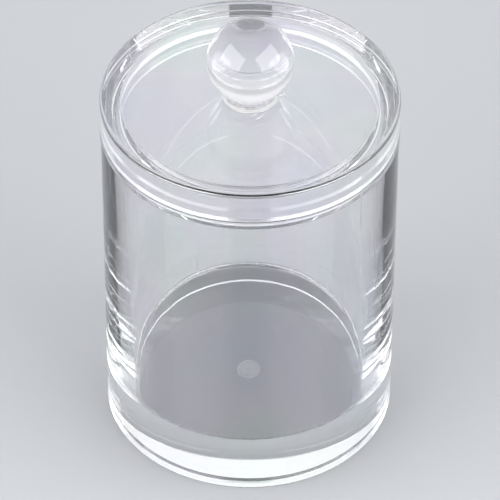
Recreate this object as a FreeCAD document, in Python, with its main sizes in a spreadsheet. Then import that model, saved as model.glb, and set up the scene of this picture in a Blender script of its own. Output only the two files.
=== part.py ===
"""Clear moulded canister with a lift-off lid and a ball knob, as a parametric FreeCAD document.

Frame: millimetres, +Z up, origin on the canister's axis at the level that its foot stands on.
Pieces: jar_body (a thick-walled cup), lid (a hollow cap with a plug ring), knob (a ball on a
neck) and knob_cement (the thin disc of cured cement that holds the knob on the lid).
Each size is a cell of the sheet "dims", and sketches and features read it by expression.
"""
import FreeCAD, Part
import math
import os

import Sketcher
from FreeCAD import Vector

# Driving dimensions: alias, value in millimetres, meaning.
DIMENSIONS = [
    ("lid_radius", 35.0, "outer radius of the lid and of the jar's rim band"),
    ("body_radius", 34.86, "outer radius of the jar just under its rim band"),
    ("foot_radius", 34.6, "outer radius of the jar at its foot"),
    ("rim_level", 86.6, "height of the jar's rim, where the lid sits"),
    ("band_height", 3.2, "height of the rim band"),
    ("rebate_radius", 32.35, "inner radius of the rebate in the jar's mouth"),
    ("rebate_depth", 3.3, "depth of that rebate below the rim"),
    ("bore_radius_top", 31.1, "inner radius of the jar just under the rebate"),
    ("bore_radius_base", 29.1, "inner radius of the jar at the floor, before its fillet"),
    ("floor_level", 13.2, "height of the inside floor, on a thick solid base"),
    ("floor_fillet", 1.0, "radius between the inside wall and the floor"),
    ("recess_level", 0.9, "height of the recessed underside"),
    ("recess_radius", 29.9, "inner radius of the foot ring"),
    ("foot_rounding", 0.4, "radius of the foot's outer edge"),
    ("gate_radius", 2.9, "radius of the round gate mark in the middle of the underside"),
    ("gate_height", 0.3, "how far the gate mark stands out of the recessed underside"),
    ("gate_dimple_radius", 2.3, "radius of the shallow dimple inside the gate mark's rim"),
    ("gate_dimple_depth", 0.15, "depth of that dimple"),
    ("gate_stub_radius", 0.4, "radius of the gate's stub in the middle of the dimple"),
    ("lid_top", 94.8, "height of the lid's flat top"),
    ("plate_thickness", 3.2, "thickness of the lid's top plate"),
    ("lid_bore_radius", 30.2, "inner radius of the lid's ring and plug"),
    ("plug_radius", 32.05, "outer radius of the plug ring"),
    ("plug_depth", 2.7, "depth of the plug ring below the rim"),
    ("lid_rounding", 1.0, "radius of the lid's top outer edge"),
    ("edge_break", 0.3, "small radius on the moulded edges"),
    ("cement_radius", 6.15, "radius of the cured cement disc"),
    ("cement_thickness", 0.1, "thickness of the cured cement disc"),
    ("neck_radius", 5.8, "radius of the knob's neck"),
    ("neck_fillet", 0.7, "radius between the neck and the ball"),
    ("ball_radius", 10.15, "radius of the knob's ball"),
    ("ball_level", 105.3, "height of the ball's centre"),
]

# Heights that several features share, as sums of the sheet's aliases.
SHOULDER = "rim_level - rebate_depth"
BAND_FOOT = "rim_level - band_height"
PLUG_END = "rim_level - plug_depth"
UNDERSIDE = "lid_top - plate_thickness"
KNOB_FOOT = "lid_top + cement_thickness"

# In an outline, a point on the axis has no radius and a point on the ground has no level.
ON_AXIS = None
ON_GROUND = None

# How closely an edge must match a radius and a height to be the one meant, in millimetres.
MATCH = 0.01


def make_sheet(document):
    """The sheet of driving dimensions: meaning in column A, value in column B with its alias."""
    sheet = document.addObject("Spreadsheet::Sheet", "dims")
    for row, (alias, value, meaning) in enumerate(DIMENSIONS, start=1):
        sheet.set(f"A{row}", meaning)
        sheet.set(f"B{row}", str(value))
        sheet.setAlias(f"B{row}", alias)
    document.recompute()
    return sheet


def bound(words):
    """A sum of aliases as an expression that reads the sheet."""
    return " ".join(word if word in ("+", "-") else f"dims.{word}" for word in words.split())


def number(sheet, words):
    """The value of a sum of aliases, as a sketch's first guess."""
    total = 0.0
    sign = 1.0
    for word in words.split():
        if word in ("+", "-"):
            sign = 1.0 if word == "+" else -1.0
        else:
            total += sign * float(sheet.get(word))
    return total


def make_body(document, name):
    """A body whose label is the piece's name, at the document's origin."""
    body = document.addObject("PartDesign::Body", name)
    body.Label = name
    body.Placement = FreeCAD.Placement()
    return body


def make_sketch(body, name, role):
    """An empty sketch on one of the body's own origin planes."""
    sketch = body.newObject("Sketcher::SketchObject", name)
    plane = next(feature for feature in body.Origin.OriginFeatures if feature.Role == role)
    sketch.AttachmentSupport = [(plane, "")]
    sketch.MapMode = "FlatFace"
    return sketch


def bind_distance(sketch, sheet, kind, geometry, end, words):
    """Ties one coordinate of a sketch point to a sum of aliases."""
    constraint = Sketcher.Constraint(kind, -1, 1, geometry, end, number(sheet, words))
    index = sketch.addConstraint(constraint)
    sketch.setExpression(f"Constraints[{index}]", bound(words))


def bind_point(sketch, sheet, geometry, end, radius, level):
    """Ties a sketch point to its distance from the axis and its height above the ground."""
    if radius is ON_AXIS:
        sketch.addConstraint(Sketcher.Constraint("PointOnObject", geometry, end, -2))
    else:
        bind_distance(sketch, sheet, "DistanceX", geometry, end, radius)
    if level is ON_GROUND:
        sketch.addConstraint(Sketcher.Constraint("PointOnObject", geometry, end, -1))
    else:
        bind_distance(sketch, sheet, "DistanceY", geometry, end, level)


def sketch_point(sheet, radius, level):
    """Where an outline's point lies in its sketch."""
    x = 0.0 if radius is ON_AXIS else number(sheet, radius)
    y = 0.0 if level is ON_GROUND else number(sheet, level)
    return Vector(x, y, 0)


def draw_outline(sketch, sheet, outline):
    """A closed outline of straight lines through (radius, level) points."""
    places = [sketch_point(sheet, radius, level) for radius, level in outline]
    count = len(places)
    for i in range(count):
        sketch.addGeometry(Part.LineSegment(places[i], places[(i + 1) % count]), False)
    for i in range(count):
        sketch.addConstraint(Sketcher.Constraint("Coincident", i, 2, (i + 1) % count, 1))
    for i, (radius, level) in enumerate(outline):
        bind_point(sketch, sheet, i, 1, radius, level)


def revolve(body, sketch, name):
    """One full turn of a section about the vertical axis."""
    turned = body.newObject("PartDesign::Revolution", name)
    turned.Profile = sketch
    turned.ReferenceAxis = (sketch, ["V_Axis"])
    turned.Angle = 360.0
    sketch.Document.recompute()


def draw_disc(body, sheet, name, radius, level):
    """A sketch with one circle about the axis, at a height above the ground."""
    sketch = make_sketch(body, name, "XY_Plane")
    sketch.setExpression("AttachmentOffset.Base.z", bound(level))
    sketch.addGeometry(Part.Circle(Vector(0, 0, 0), Vector(0, 0, 1), number(sheet, radius)), False)
    sketch.addConstraint(Sketcher.Constraint("Coincident", 0, 3, -1, 1))
    index = sketch.addConstraint(Sketcher.Constraint("Radius", 0, number(sheet, radius)))
    sketch.setExpression(f"Constraints[{index}]", bound(radius))
    return sketch


def is_ring(edge, place):
    """Whether an edge is a circle about the axis of this radius (x) and height (y)."""
    if edge.Degenerated or not isinstance(edge.Curve, Part.Circle):
        return False
    same_radius = abs(edge.Curve.Radius - place.x) < MATCH
    same_level = abs(edge.Curve.Center.z - place.y) < MATCH
    return same_radius and same_level


def round_places(body, name, size, places):
    """A fillet of one size along circular edges of the body's last feature."""
    base = body.Tip
    edges = [
        f"Edge{i}" for i, edge in enumerate(base.Shape.Edges, start=1)
        if any(is_ring(edge, place) for place in places)
    ]
    if len(edges) != len(places):
        raise RuntimeError(f"{body.Label}: {name} found {len(edges)} of {len(places)} edges")
    fillet = body.newObject("PartDesign::Fillet", name)
    fillet.Base = (base, edges)
    fillet.setExpression("Radius", bound(size))
    body.Document.recompute()


def round_rings(body, sheet, name, size, rings):
    """The same, with each edge given by its (radius, level) in the sheet's aliases."""
    places = [sketch_point(sheet, radius, level) for radius, level in rings]
    round_places(body, name, size, places)


def make_jar_body(document, sheet):
    """The cup: foot ring, drafted thick wall, rim band outside and rebate inside its mouth."""
    body = make_body(document, "jar_body")
    section = make_sketch(body, "jar_section", "XZ_Plane")
    draw_outline(section, sheet, [
        (ON_AXIS, "recess_level"),
        ("recess_radius", "recess_level"),
        ("recess_radius", ON_GROUND),
        ("foot_radius", ON_GROUND),
        ("body_radius", BAND_FOOT),
        ("lid_radius", BAND_FOOT),
        ("lid_radius", "rim_level"),
        ("rebate_radius", "rim_level"),
        ("rebate_radius", SHOULDER),
        ("bore_radius_top", SHOULDER),
        ("bore_radius_base", "floor_level"),
        (ON_AXIS, "floor_level"),
    ])
    revolve(body, section, "jar_shell")
    round_rings(body, sheet, "floor_corner", "floor_fillet", [("bore_radius_base", "floor_level")])
    round_rings(body, sheet, "foot_edge", "foot_rounding", [("foot_radius", ON_GROUND)])
    round_rings(body, sheet, "broken_edges", "edge_break", [
        ("lid_radius", "rim_level"),
        ("rebate_radius", "rim_level"),
        ("bore_radius_top", SHOULDER),
        ("recess_radius", ON_GROUND),
        ("recess_radius", "recess_level"),
    ])
    add_gate_mark(body, sheet)
    return body


def add_gate_mark(body, sheet):
    """The witness of the mould's gate under the base: a low round rim with a stub inside it."""
    face = "recess_level - gate_height"
    bare = body.Shape.Volume
    add_disc(body, sheet, "PartDesign::Pad", "gate_mark", "gate_radius",
             "recess_level", "gate_height", True)
    marked = body.Shape.Volume
    add_disc(body, sheet, "PartDesign::Pocket", "gate_dimple", "gate_dimple_radius",
             face, "gate_dimple_depth", True)
    dimpled = body.Shape.Volume
    add_disc(body, sheet, "PartDesign::Pad", "gate_stub", "gate_stub_radius",
             face, "gate_dimple_depth", False)
    if not bare < dimpled < body.Shape.Volume < marked:
        raise RuntimeError("a feature of the gate mark points the wrong way")


def add_disc(body, sheet, kind, name, radius, level, height, turned):
    """A round pad or pocket about the axis, from a level, turned to its other side if asked."""
    disc = body.newObject(kind, name)
    disc.Profile = draw_disc(body, sheet, f"{name}_circle", radius, level)
    disc.setExpression("Length", bound(height))
    disc.Reversed = turned
    body.Document.recompute()


def make_lid(document, sheet):
    """The cap: flat top plate, outer ring that sits on the rim, and plug ring in the mouth."""
    body = make_body(document, "lid")
    section = make_sketch(body, "lid_section", "XZ_Plane")
    draw_outline(section, sheet, [
        (ON_AXIS, UNDERSIDE),
        ("lid_bore_radius", UNDERSIDE),
        ("lid_bore_radius", PLUG_END),
        ("plug_radius", PLUG_END),
        ("plug_radius", "rim_level"),
        ("lid_radius", "rim_level"),
        ("lid_radius", "lid_top"),
        (ON_AXIS, "lid_top"),
    ])
    revolve(body, section, "lid_shell")
    round_rings(body, sheet, "top_edge", "lid_rounding", [("lid_radius", "lid_top")])
    round_rings(body, sheet, "broken_edges_of_lid", "edge_break", [
        ("lid_radius", "rim_level"),
        ("plug_radius", PLUG_END),
        ("lid_bore_radius", PLUG_END),
        ("lid_bore_radius", UNDERSIDE),
    ])
    return body


def make_knob(document, sheet):
    """The ball on its short neck, standing on the cement."""
    body = make_body(document, "knob")
    sketch = make_sketch(body, "knob_section", "XZ_Plane")
    neck = number(sheet, "neck_radius")
    ball = number(sheet, "ball_radius")
    foot = number(sheet, KNOB_FOOT)
    centre = Vector(0, number(sheet, "ball_level"), 0)
    start_angle = -math.acos(neck / ball)
    joint = centre + Vector(neck, ball * math.sin(start_angle), 0)
    crown = centre + Vector(0, ball, 0)
    circle = Part.Circle(centre, Vector(0, 0, 1), ball)
    sketch.addGeometry([
        Part.LineSegment(Vector(0, foot, 0), Vector(neck, foot, 0)),
        Part.LineSegment(Vector(neck, foot, 0), joint),
        Part.ArcOfCircle(circle, start_angle, math.pi / 2),
        Part.LineSegment(crown, Vector(0, foot, 0)),
    ], False)
    for i in range(4):
        sketch.addConstraint(Sketcher.Constraint("Coincident", i, 2, (i + 1) % 4, 1))
    sketch.addConstraint(Sketcher.Constraint("Vertical", 1))
    bind_point(sketch, sheet, 0, 1, ON_AXIS, KNOB_FOOT)
    bind_point(sketch, sheet, 0, 2, "neck_radius", KNOB_FOOT)
    bind_point(sketch, sheet, 2, 3, ON_AXIS, "ball_level")
    index = sketch.addConstraint(Sketcher.Constraint("Radius", 2, ball))
    sketch.setExpression(f"Constraints[{index}]", bound("ball_radius"))
    sketch.addConstraint(Sketcher.Constraint("PointOnObject", 2, 2, -2))
    revolve(body, sketch, "knob_solid")
    round_places(body, "neck_blend", "neck_fillet", [joint])
    return body


def make_knob_cement(document):
    """The thin disc of cured cement between the lid's top and the knob's neck."""
    disc = document.addObject("Part::Cylinder", "knob_cement")
    disc.Label = "knob_cement"
    disc.setExpression("Radius", bound("cement_radius"))
    disc.setExpression("Height", bound("cement_thickness"))
    disc.setExpression("Placement.Base.z", bound("lid_top"))
    return disc


def check_document(document, pieces):
    """Stops if any object failed to recompute, or any piece's shape is missing or not valid."""
    for item in document.Objects:
        if {"Invalid", "Error"} & set(item.State):
            raise RuntimeError(f"{item.Label} did not recompute: {item.State}")
    for piece in pieces:
        shape = piece.Shape
        if shape.isNull() or not shape.isValid() or len(shape.Solids) != 1:
            raise RuntimeError(f"{piece.Label} is not one valid solid")


def main():
    document = FreeCAD.newDocument("canister")
    sheet = make_sheet(document)
    pieces = [
        make_jar_body(document, sheet),
        make_lid(document, sheet),
        make_knob(document, sheet),
        make_knob_cement(document),
    ]
    document.recompute()
    check_document(document, pieces)
    os.makedirs("parts", exist_ok=True)
    for piece in pieces:
        piece.Shape.exportStep(f"parts/{piece.Label}.step")
        print(f"{piece.Label}: {piece.Shape.Volume / 1000:.2f} cm3")


main()
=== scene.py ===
import math

import bmesh
import bpy
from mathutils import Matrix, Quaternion, Vector, noise


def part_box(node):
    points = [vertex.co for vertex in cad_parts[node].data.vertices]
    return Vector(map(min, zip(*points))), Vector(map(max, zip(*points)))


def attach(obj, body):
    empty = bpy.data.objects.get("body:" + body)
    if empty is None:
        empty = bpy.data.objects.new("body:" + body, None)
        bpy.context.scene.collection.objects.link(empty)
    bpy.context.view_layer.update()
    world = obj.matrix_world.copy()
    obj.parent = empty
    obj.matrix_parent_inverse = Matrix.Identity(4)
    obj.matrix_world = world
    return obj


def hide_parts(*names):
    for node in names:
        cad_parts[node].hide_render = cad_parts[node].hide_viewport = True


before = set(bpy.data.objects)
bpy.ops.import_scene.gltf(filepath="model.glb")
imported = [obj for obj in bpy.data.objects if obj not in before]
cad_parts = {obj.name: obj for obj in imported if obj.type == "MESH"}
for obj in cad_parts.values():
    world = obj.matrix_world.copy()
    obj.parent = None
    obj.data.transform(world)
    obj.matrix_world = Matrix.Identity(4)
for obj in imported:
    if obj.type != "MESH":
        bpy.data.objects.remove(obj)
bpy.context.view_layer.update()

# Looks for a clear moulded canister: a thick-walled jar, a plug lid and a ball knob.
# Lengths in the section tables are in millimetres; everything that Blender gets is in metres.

MM = 0.001

# Lathe settings: steps in a turn and degrees in a step of an arc, then the width of the flat strip
# that keeps the shading of a long face from leaning into the rounded edge beside it, the shortest
# run that gets such strips, and the longest stretch that a run is divided into.
TURN_STEPS = 288
ARC_STEP = 7.5
FEWEST_ARC_STEPS = 3
GUARD = 0.03
SHORTEST_GUARDED = 0.15
LONGEST_RUN = 3.0

# Steps in the knob's blend and in its ball, and the radius under which a point is on the axis.
BLEND_STEPS = 8
BALL_STEPS = 64
ON_AXIS = 1e-6

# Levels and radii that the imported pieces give.
JAR_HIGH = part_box("jar_body")[1]
LID_LOW, LID_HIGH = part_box("lid")
KNOB_LOW, KNOB_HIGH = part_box("knob")
RIM_LEVEL = JAR_HIGH.z / MM
OUTER_RADIUS = JAR_HIGH.x / MM
PLUG_END = LID_LOW.z / MM
LID_TOP = LID_HIGH.z / MM
KNOB_FOOT = KNOB_LOW.z / MM
BALL_RADIUS = KNOB_HIGH.x / MM
BALL_LEVEL = KNOB_HIGH.z / MM - BALL_RADIUS

# The other sizes of the mouldings, as in the CAD sections.
BODY_RADIUS = 34.86
FOOT_RADIUS = 34.6
BAND_HEIGHT = 3.2
REBATE_RADIUS = 32.35
REBATE_DEPTH = 3.3
SHOULDER = RIM_LEVEL - REBATE_DEPTH
BAND_FOOT = RIM_LEVEL - BAND_HEIGHT
BORE_TOP = 31.1
BORE_BASE = 29.1
FLOOR_LEVEL = 13.2
FLOOR_FILLET = 1.0
RECESS_LEVEL = 0.9
RECESS_RADIUS = 29.9
FOOT_ROUNDING = 0.4
GATE_RADIUS = 2.9
GATE_HEIGHT = 0.3
DIMPLE_RADIUS = 2.3
DIMPLE_DEPTH = 0.15
STUB_RADIUS = 0.4
PLATE = 3.2
LID_BORE = 30.2
PLUG_RADIUS = 32.05
LID_ROUNDING = 1.0
EDGE_BREAK = 0.3
NECK_RADIUS = 5.8
NECK_FILLET = 0.7

# Roundings that stand for crisp corners, and the wider ones of parts that barely have any.
CRISP = 0.05
SOFTER = 0.1
NECK_EDGE = 0.12
REBATE_CORNER = 0.15

# Air between pieces that rest on each other.
SEAT_GAP = 0.02
FILM_GAP = 0.02
FLOOR_GAP = 0.05

# Upright waves inside the jar's wall: depth, width across, length along, and how far outside the
# bore's largest radius a point may be and still count as on the bore.
RIPPLE = 0.008
RIPPLE_WIDTH = 3.4
RIPPLE_HEIGHT = 26.0
RIPPLE_REACH = 0.1

# The squeezed-out bead: its radius, how far its corners stand in from its edges, the heights of
# its shoulder, of its upper corner and of its lip, and the roundings of film, bead and lip.
BEAD_RADIUS = 6.45
BEAD_INSET = 0.12
BEAD_SHOULDER = 0.14
BEAD_CORNER = 0.34
BEAD_LIP = 0.52
FILM_EDGE = 0.02
LIP_EDGE = 0.03

# The bead's slow and quick unevenness, each as depth and pace, and its swelling at the right, with
# that swelling's direction and how narrow it is.
SLOW_SWELL = (0.30, 1.7)
QUICK_SWELL = (0.10, 6.0)
SIDE_SWELL = 0.55
SWELL_SIDE = Vector((0.98, -0.17, 0))
SWELL_NARROWNESS = 12

# Cement left on the lid: x, y, half length, half width, half height (mm) and turn (radians). Then
# how uneven each trace is, the pace of that, and how far it bows.
TRACES = [
    (0.95, -6.95, 1.25, 0.17, 0.08, 0.75),
    (2.25, -7.85, 1.35, 0.19, 0.09, 0.78),
    (7.15, -0.35, 0.75, 0.42, 0.30, 0.30),
    (7.75, 0.35, 0.35, 0.30, 0.20, 1.20),
    (6.95, 0.75, 0.50, 0.25, 0.16, 2.20),
    (8.20, -0.55, 0.22, 0.20, 0.12, 0.00),
]
TRACE_UNEVENNESS = 0.18
TRACE_PACE = 1.6
TRACE_BOW = 0.12

# The right soft box, a little in front of the object: place, size, power and the point that it
# faces. The left one mirrors it.
BOX_PLACE = (0.55, -0.33, 0.45)
BOX_SIZE = (0.9, 0.6)
BOX_POWER = 5.5
BOX_TARGET = Vector((0, 0, 0.05))

# The light tent: sine of the height above the horizon and brightness there, how much of it there
# is in front and behind, and where along Y those two ends lie.
TENT = [
    (0.0, 0.50),
    (0.15, 0.75),
    (0.45, 0.85),
    (0.85, 0.75),
    (1.0, 0.75),
]
TENT_FRONT = 0.45
TENT_BACK = 1.4
TENT_FRONT_END = -0.6
TENT_BACK_END = 0.3

# The camera: elevation and roll in degrees, distance and lens, and the points that its place and
# its aim are measured from.
ELEVATION = 42.69
ROLL = 0.27
DISTANCE = 1.1433
LENS = 345.7
SENSOR_WIDTH = 36
VIEW_CENTRE = Vector((0.00012, 0, 0.05))
AIM_POINT = Vector((0.00012, 0, 0.04577))

# The refractive index of the plastic, how far below the recessed underside a face of the gate mark
# must lie to count as one, the floor's radius, and how often light may bounce.
PLASTIC_IOR = 1.59
GATE_MARGIN = 0.02
FLOOR_RADIUS = 0.7
MOST_BOUNCES = 32
MOST_GLOSSY_BOUNCES = 16


def corner_arc(before, corner, after, radius):
    """The points of a round corner between two straight runs."""
    corner = Vector(corner)
    back = (Vector(before) - corner).normalized()
    ahead = (Vector(after) - corner).normalized()
    half = back.angle(ahead) / 2
    reach = radius / math.tan(half)
    centre = corner + (back + ahead).normalized() * (radius / math.sin(half))
    start = corner + back * reach - centre
    turn = start.angle_signed(corner + ahead * reach - centre)
    steps = max(FEWEST_ARC_STEPS, math.ceil(abs(math.degrees(turn)) / ARC_STEP))
    points = []
    for i in range(steps + 1):
        angle = -turn * i / steps
        cos, sin = math.cos(angle), math.sin(angle)
        spoke = Vector((start.x * cos - start.y * sin, start.x * sin + start.y * cos))
        points.append(tuple(centre + spoke))
    return points


def rounded(corners):
    """An open outline of (radius, level) points from (radius, level, rounding) corners."""
    points = []
    last = len(corners) - 1
    for i, (radius, level, rounding) in enumerate(corners):
        if rounding and 0 < i < last:
            before, after = corners[i - 1][:2], corners[i + 1][:2]
            points += corner_arc(before, (radius, level), after, rounding)
        else:
            points.append((radius, level))
    return points


def guarded(points):
    """The outline with its long runs divided, and with a narrow strip at both ends of each."""
    out = []
    for a, b in zip(points, points[1:]):
        start, end = Vector(a), Vector(b)
        out.append(a)
        length = (end - start).length
        if length > SHORTEST_GUARDED:
            guard = min(GUARD, length / 4) / length
            parts = math.ceil(length / LONGEST_RUN)
            shares = [guard] + [i / parts for i in range(1, parts)] + [1 - guard]
            out += [tuple(start.lerp(end, share)) for share in shares]
    out.append(points[-1])
    return out


def lathe(name, points, shape=None):
    """A closed solid of revolution from an outline that starts and ends on the axis."""
    mesh = bpy.data.meshes.new(name)
    bm = bmesh.new()
    rings = []
    for radius, level in guarded(points):
        if radius < ON_AXIS:
            rings.append([bm.verts.new((0, 0, level * MM))])
            continue
        ring = []
        for k in range(TURN_STEPS):
            angle = 2 * math.pi * k / TURN_STEPS
            place = Vector((radius * math.cos(angle), radius * math.sin(angle), level))
            if shape:
                place = shape(place)
            ring.append(bm.verts.new(place * MM))
        rings.append(ring)
    for low, high in zip(rings, rings[1:]):
        for k in range(TURN_STEPS):
            after = (k + 1) % TURN_STEPS
            if len(low) == 1:
                bm.faces.new((low[0], high[after], high[k]))
            elif len(high) == 1:
                bm.faces.new((low[k], low[after], high[0]))
            else:
                bm.faces.new((low[k], low[after], high[after], high[k]))
    bmesh.ops.recalc_face_normals(bm, faces=bm.faces)
    bm.to_mesh(mesh)
    bm.free()
    mesh.shade_smooth()
    return add_piece(name, mesh)


def add_piece(name, mesh):
    """A mesh as an object of the scene."""
    piece = bpy.data.objects.new(name, mesh)
    bpy.context.scene.collection.objects.link(piece)
    return piece


def jar_outline():
    """The jar's section, from the middle of its underside round to the middle of its floor."""
    mark = RECESS_LEVEL - GATE_HEIGHT
    dimple = mark + DIMPLE_DEPTH
    return rounded([
        (0, mark, 0),
        (STUB_RADIUS, mark, CRISP),
        (STUB_RADIUS, dimple, CRISP),
        (DIMPLE_RADIUS, dimple, CRISP),
        (DIMPLE_RADIUS, mark, CRISP),
        (GATE_RADIUS, mark, SOFTER),
        (GATE_RADIUS, RECESS_LEVEL, CRISP),
        (RECESS_RADIUS, RECESS_LEVEL, EDGE_BREAK),
        (RECESS_RADIUS, 0, EDGE_BREAK),
        (FOOT_RADIUS, 0, FOOT_ROUNDING),
        (BODY_RADIUS, BAND_FOOT, CRISP),
        (OUTER_RADIUS, BAND_FOOT, CRISP),
        (OUTER_RADIUS, RIM_LEVEL, EDGE_BREAK),
        (REBATE_RADIUS, RIM_LEVEL, EDGE_BREAK),
        (REBATE_RADIUS, SHOULDER, REBATE_CORNER),
        (BORE_TOP, SHOULDER, EDGE_BREAK),
        (BORE_BASE, FLOOR_LEVEL, FLOOR_FILLET),
        (0, FLOOR_LEVEL, 0),
    ])


def lid_outline():
    """The lid's section, from the middle of its underside round to the middle of its top."""
    seat = RIM_LEVEL + SEAT_GAP
    underside = LID_TOP - PLATE
    return rounded([
        (0, underside, 0),
        (LID_BORE, underside, EDGE_BREAK),
        (LID_BORE, PLUG_END, EDGE_BREAK),
        (PLUG_RADIUS, PLUG_END, EDGE_BREAK),
        (PLUG_RADIUS, seat, SOFTER),
        (OUTER_RADIUS, seat, EDGE_BREAK),
        (OUTER_RADIUS, LID_TOP, LID_ROUNDING),
        (0, LID_TOP, 0),
    ])


def knob_outline():
    """The ball on its neck, from the middle of its foot up to its crown."""
    reach = BALL_RADIUS + NECK_FILLET
    blend = Vector((NECK_RADIUS + NECK_FILLET, 0))
    blend.y = BALL_LEVEL - math.sqrt(reach ** 2 - blend.x ** 2)
    lean = math.atan2(blend.y - BALL_LEVEL, blend.x)
    points = rounded([
        (0, KNOB_FOOT, 0),
        (NECK_RADIUS, KNOB_FOOT, NECK_EDGE),
        (NECK_RADIUS, blend.y, 0),
    ])
    for i in range(1, BLEND_STEPS + 1):
        angle = math.pi + lean * i / BLEND_STEPS
        points.append((blend.x + NECK_FILLET * math.cos(angle),
                       blend.y + NECK_FILLET * math.sin(angle)))
    for i in range(1, BALL_STEPS):
        angle = lean + (math.pi / 2 - lean) * i / BALL_STEPS
        points.append((BALL_RADIUS * math.cos(angle), BALL_LEVEL + BALL_RADIUS * math.sin(angle)))
    points.append((0, BALL_LEVEL + BALL_RADIUS))
    return points


def cement_outline():
    """The film of cement under the neck and the bead that it squeezed out round the neck."""
    film_foot = LID_TOP + FILM_GAP
    film_top = KNOB_FOOT - FILM_GAP
    bore = NECK_RADIUS + FILM_GAP
    return rounded([
        (0, film_foot, 0),
        (BEAD_RADIUS, film_foot, FILM_EDGE),
        (BEAD_RADIUS - BEAD_INSET, film_foot + BEAD_SHOULDER, SOFTER),
        (bore + BEAD_INSET, film_foot + BEAD_CORNER, SOFTER),
        (bore, film_foot + BEAD_LIP, LIP_EDGE),
        (bore, film_top, FILM_EDGE),
        (0, film_top, 0),
    ])


def squeeze(place):
    """Makes the bead uneven round the neck, and widest at the right."""
    flat = Vector((place.x, place.y, 0))
    if flat.length < NECK_RADIUS + 2 * FILM_GAP:
        return place
    side = flat.normalized()
    swell = sum(depth * noise.noise(side * pace) for depth, pace in (SLOW_SWELL, QUICK_SWELL))
    swell += SIDE_SWELL * max(0.0, side.dot(SWELL_SIDE)) ** SWELL_NARROWNESS
    share = (flat.length - NECK_RADIUS) / (BEAD_RADIUS - NECK_RADIUS)
    return place + side * (swell * share)


def ripple(place):
    """The faint upright waves that the mould's core leaves on the inside of the wall."""
    flat = Vector((place.x, place.y, 0))
    if flat.length > BORE_TOP + RIPPLE_REACH or not FLOOR_LEVEL < place.z < SHOULDER:
        return place
    ends = min(place.z - FLOOR_LEVEL, SHOULDER - place.z)
    fade = min(1.0, ends / RIPPLE_WIDTH)
    side = flat.normalized() * (BORE_BASE / RIPPLE_WIDTH)
    wave = noise.noise(side + Vector((0, 0, place.z / RIPPLE_HEIGHT)))
    return place + flat.normalized() * (RIPPLE * wave * fade)


def bead(bm, centre, half, turn, seed):
    """One small drop or thread of cement: an uneven ellipsoid, centre and half sizes in mm."""
    made = bmesh.ops.create_icosphere(bm, subdivisions=4, radius=1.0)
    cos, sin = math.cos(turn), math.sin(turn)
    for vertex in made["verts"]:
        spot = vertex.co.copy()
        spot *= 1 + TRACE_UNEVENNESS * noise.noise(spot * TRACE_PACE + Vector((seed, 0, 0)))
        x, y, z = spot.x * half[0], spot.y * half[1], spot.z * half[2]
        y += TRACE_BOW * half[0] * (spot.x ** 2 - 0.5)
        place = Vector((x * cos - y * sin, x * sin + y * cos, z))
        vertex.co = (place + Vector(centre)) * MM


def cement_traces():
    """The drops beside the neck and the two threads in front of it."""
    mesh = bpy.data.meshes.new("cement_traces")
    bm = bmesh.new()
    for seed, (x, y, length, width, height, turn) in enumerate(TRACES):
        bead(bm, (x, y, LID_TOP + height + FILM_GAP), (length, width, height), turn, seed)
    bm.to_mesh(mesh)
    bm.free()
    mesh.shade_smooth()
    return add_piece("cement_traces", mesh)


def gate_face(face):
    """Whether a face of the jar belongs to the round gate mark in the middle of its underside."""
    middle = face.center / MM
    near = Vector((middle.x, middle.y)).length < GATE_RADIUS
    return near and middle.z < RECESS_LEVEL - GATE_MARGIN


class Shader:
    """A plain transmitting material, with helpers for the nodes that drive its marks."""

    def __init__(self, name, tint, roughness):
        self.material = bpy.data.materials.new(name)
        self.material.use_nodes = True
        self.tree = self.material.node_tree
        self.bsdf = self.tree.nodes["Principled BSDF"]
        self.place = self.tree.nodes.new("ShaderNodeTexCoord").outputs["Object"]
        self.bsdf.inputs["Base Color"].default_value = tint
        self.bsdf.inputs["Roughness"].default_value = roughness
        self.bsdf.inputs["IOR"].default_value = PLASTIC_IOR
        self.bsdf.inputs["Transmission Weight"].default_value = 1.0

    def noise(self, scale, detail=2.0, offset=(0, 0, 0)):
        """Noise over the object, with its own scale along X, Y and Z, in cycles per metre."""
        mapping = self.tree.nodes.new("ShaderNodeMapping")
        mapping.inputs["Scale"].default_value = scale
        mapping.inputs["Location"].default_value = offset
        self.tree.links.new(self.place, mapping.inputs["Vector"])
        texture = self.tree.nodes.new("ShaderNodeTexNoise")
        texture.inputs["Scale"].default_value = 1.0
        texture.inputs["Detail"].default_value = detail
        self.tree.links.new(mapping.outputs["Vector"], texture.inputs["Vector"])
        return texture.outputs["Fac"]

    def ramp(self, value, stops):
        """A colour ramp from (position, colour) stops."""
        node = self.tree.nodes.new("ShaderNodeValToRGB")
        elements = node.color_ramp.elements
        while len(elements) < len(stops):
            elements.new(0.5)
        for element, (position, colour) in zip(elements, stops):
            element.position = position
            element.color = colour
        self.tree.links.new(value, node.inputs["Fac"])
        return node.outputs["Color"]

    def larger(self, a, b):
        """The larger of two values."""
        node = self.tree.nodes.new("ShaderNodeMath")
        node.operation = "MAXIMUM"
        self.tree.links.new(a, node.inputs[0])
        self.tree.links.new(b, node.inputs[1])
        return node.outputs["Value"]

    def drive(self, value, name):
        """Lets a node's value set an input of the material."""
        self.tree.links.new(value, self.bsdf.inputs[name])

    def bump(self, height, depth):
        """Relief of this depth in metres."""
        node = self.tree.nodes.new("ShaderNodeBump")
        node.inputs["Strength"].default_value = 1.0
        node.inputs["Distance"].default_value = depth
        self.tree.links.new(height, node.inputs["Height"])
        self.tree.links.new(node.outputs["Normal"], self.bsdf.inputs["Normal"])


def grey(value):
    """An opaque grey."""
    return (value, value, value, 1)


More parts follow.
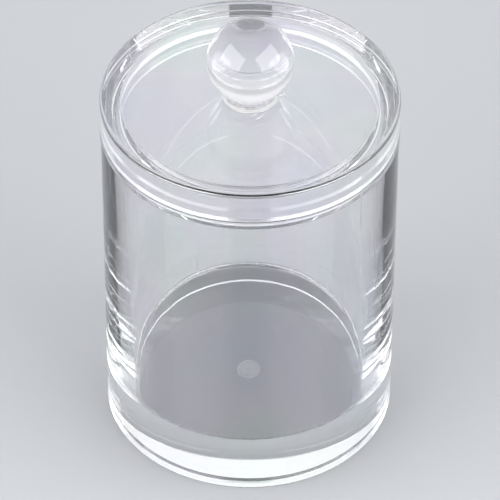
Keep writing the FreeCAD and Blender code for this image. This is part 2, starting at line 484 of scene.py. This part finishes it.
def clear_plastic(name, seed, streaks):
    """Polished clear moulding: faint stress tints, hairline scratches and specks of dust."""
    shader = Shader(name, grey(0.98), 0.0)
    offset = (seed * 7.3, seed * 3.1, seed * 5.7)
    tints = shader.noise((45, 45, 22), 1.0, offset)
    shader.drive(shader.ramp(tints, [
        (0.30, (0.925, 0.985, 0.955, 1)),
        (0.46, (0.985, 0.985, 0.985, 1)),
        (0.55, (0.965, 0.945, 0.990, 1)),
        (0.70, (0.930, 0.955, 0.995, 1)),
    ]), "Base Color")
    upright = shader.noise(streaks, 1.0, offset)
    hairlines = shader.ramp(upright, [(0.715, grey(0.0)), (0.74, grey(0.22))])
    dust = shader.ramp(shader.noise((1400, 1400, 1400), 0.0, offset),
                       [(0.80, grey(0.0)), (0.84, grey(0.25))])
    shader.drive(shader.larger(hairlines, dust), "Roughness")
    return shader.material


def frosted_plastic():
    """The dull, whitish skin of the gate mark."""
    shader = Shader("gate_frost", grey(0.95), 0.5)
    shader.bsdf.inputs["Transmission Weight"].default_value = 0.6
    shader.bump(shader.noise((2600, 2600, 2600), 3.0), 0.00004)
    return shader.material


def cured_cement(name):
    """Clear cement, a little milky and uneven."""
    shader = Shader(name, grey(0.97), 0.16)
    shader.bsdf.inputs["Transmission Weight"].default_value = 0.6
    shader.bump(shader.noise((1500, 1500, 1500), 3.0), 0.00005)
    return shader.material


def add_soft_boxes():
    """A pair of rectangular soft boxes that face the object."""
    for name, side in (("left_box", -1), ("right_box", 1)):
        data = bpy.data.lights.new(name, "AREA")
        data.shape = "RECTANGLE"
        data.size, data.size_y = BOX_SIZE
        data.energy = BOX_POWER
        box = bpy.data.objects.new(name, data)
        bpy.context.scene.collection.objects.link(box)
        box.location = Vector((BOX_PLACE[0] * side, BOX_PLACE[1], BOX_PLACE[2]))
        facing = BOX_TARGET - box.location
        box.rotation_mode = "QUATERNION"
        box.rotation_quaternion = facing.to_track_quat("-Z", "Y")


def add_camera():
    """A long lens that looks down on the canister from the front."""
    elevation = math.radians(ELEVATION)
    back = Vector((0, -math.cos(elevation), math.sin(elevation)))
    data = bpy.data.cameras.new("camera")
    data.sensor_width = SENSOR_WIDTH
    data.lens = LENS
    data.clip_start = 0.01
    data.clip_end = 20
    camera = bpy.data.objects.new("camera", data)
    bpy.context.scene.collection.objects.link(camera)
    camera.location = VIEW_CENTRE + back * DISTANCE
    aim = AIM_POINT - camera.location
    camera.rotation_mode = "QUATERNION"
    roll = Quaternion((0, 0, 1), math.radians(ROLL))
    camera.rotation_quaternion = aim.to_track_quat("-Z", "Y") @ roll
    bpy.context.scene.camera = camera


def add_stage():
    """The plain pale floor."""
    place = (0, 0, -FLOOR_GAP * MM)
    bpy.ops.mesh.primitive_circle_add(
        vertices=128, radius=FLOOR_RADIUS, fill_type="NGON", location=place)
    floor = bpy.context.object
    floor.name = "floor"
    material = bpy.data.materials.new("pale_floor")
    material.use_nodes = True
    shader = material.node_tree.nodes["Principled BSDF"]
    shader.inputs["Base Color"].default_value = (0.45, 0.46, 0.48, 1)
    shader.inputs["Roughness"].default_value = 0.6
    shader.inputs["Specular IOR Level"].default_value = 0.2
    floor.data.materials.append(material)


def add_world():
    """A light tent: brightest behind the object, dimmer in front and towards the horizon."""
    world = bpy.data.worlds.new("studio")
    bpy.context.scene.world = world
    world.use_nodes = True
    tree = world.node_tree
    direction = tree.nodes.new("ShaderNodeTexCoord").outputs["Generated"]
    split = tree.nodes.new("ShaderNodeSeparateXYZ")
    tree.links.new(direction, split.inputs["Vector"])
    height = tree.nodes.new("ShaderNodeValToRGB")
    elements = height.color_ramp.elements
    while len(elements) < len(TENT):
        elements.new(0.5)
    for element, (position, level) in zip(elements, TENT):
        element.position = position
        element.color = (level * 0.98, level * 0.99, level, 1)
    tree.links.new(split.outputs["Z"], height.inputs["Fac"])
    depth = tree.nodes.new("ShaderNodeMapRange")
    depth.inputs["From Min"].default_value = TENT_FRONT_END
    depth.inputs["From Max"].default_value = TENT_BACK_END
    depth.inputs["To Min"].default_value = TENT_FRONT
    depth.inputs["To Max"].default_value = TENT_BACK
    tree.links.new(split.outputs["Y"], depth.inputs["Value"])
    background = tree.nodes["Background"]
    tree.links.new(height.outputs["Color"], background.inputs["Color"])
    tree.links.new(depth.outputs["Result"], background.inputs["Strength"])


jar = lathe("jar_moulding", jar_outline(), ripple)
lid = lathe("lid_moulding", lid_outline())
knob = lathe("knob_moulding", knob_outline())
cement = lathe("cement_film", cement_outline(), squeeze)
traces = cement_traces()

jar.data.materials.append(clear_plastic("clear_jar_plastic", 1, (1100, 1100, 24)))
jar.data.materials.append(frosted_plastic())
for face in jar.data.polygons:
    face.material_index = 1 if gate_face(face) else 0
lid.data.materials.append(clear_plastic("clear_lid_plastic", 2, (60, 1500, 1500)))
knob.data.materials.append(clear_plastic("clear_knob_plastic", 3, (900, 900, 60)))
for piece in (cement, traces):
    piece.data.materials.append(cured_cement(f"{piece.name}_clear"))

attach(jar, "jar")
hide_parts("jar_body")
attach(lid, "lid")
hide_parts("lid")
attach(knob, "lid")
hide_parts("knob")
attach(cement, "lid")
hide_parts("knob_cement")
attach(traces, "lid")

add_stage()
add_world()
add_soft_boxes()
add_camera()

scene = bpy.context.scene
scene.view_settings.view_transform = "Standard"
scene.cycles.max_bounces = MOST_BOUNCES
scene.cycles.transmission_bounces = MOST_BOUNCES
scene.cycles.glossy_bounces = MOST_GLOSSY_BOUNCES
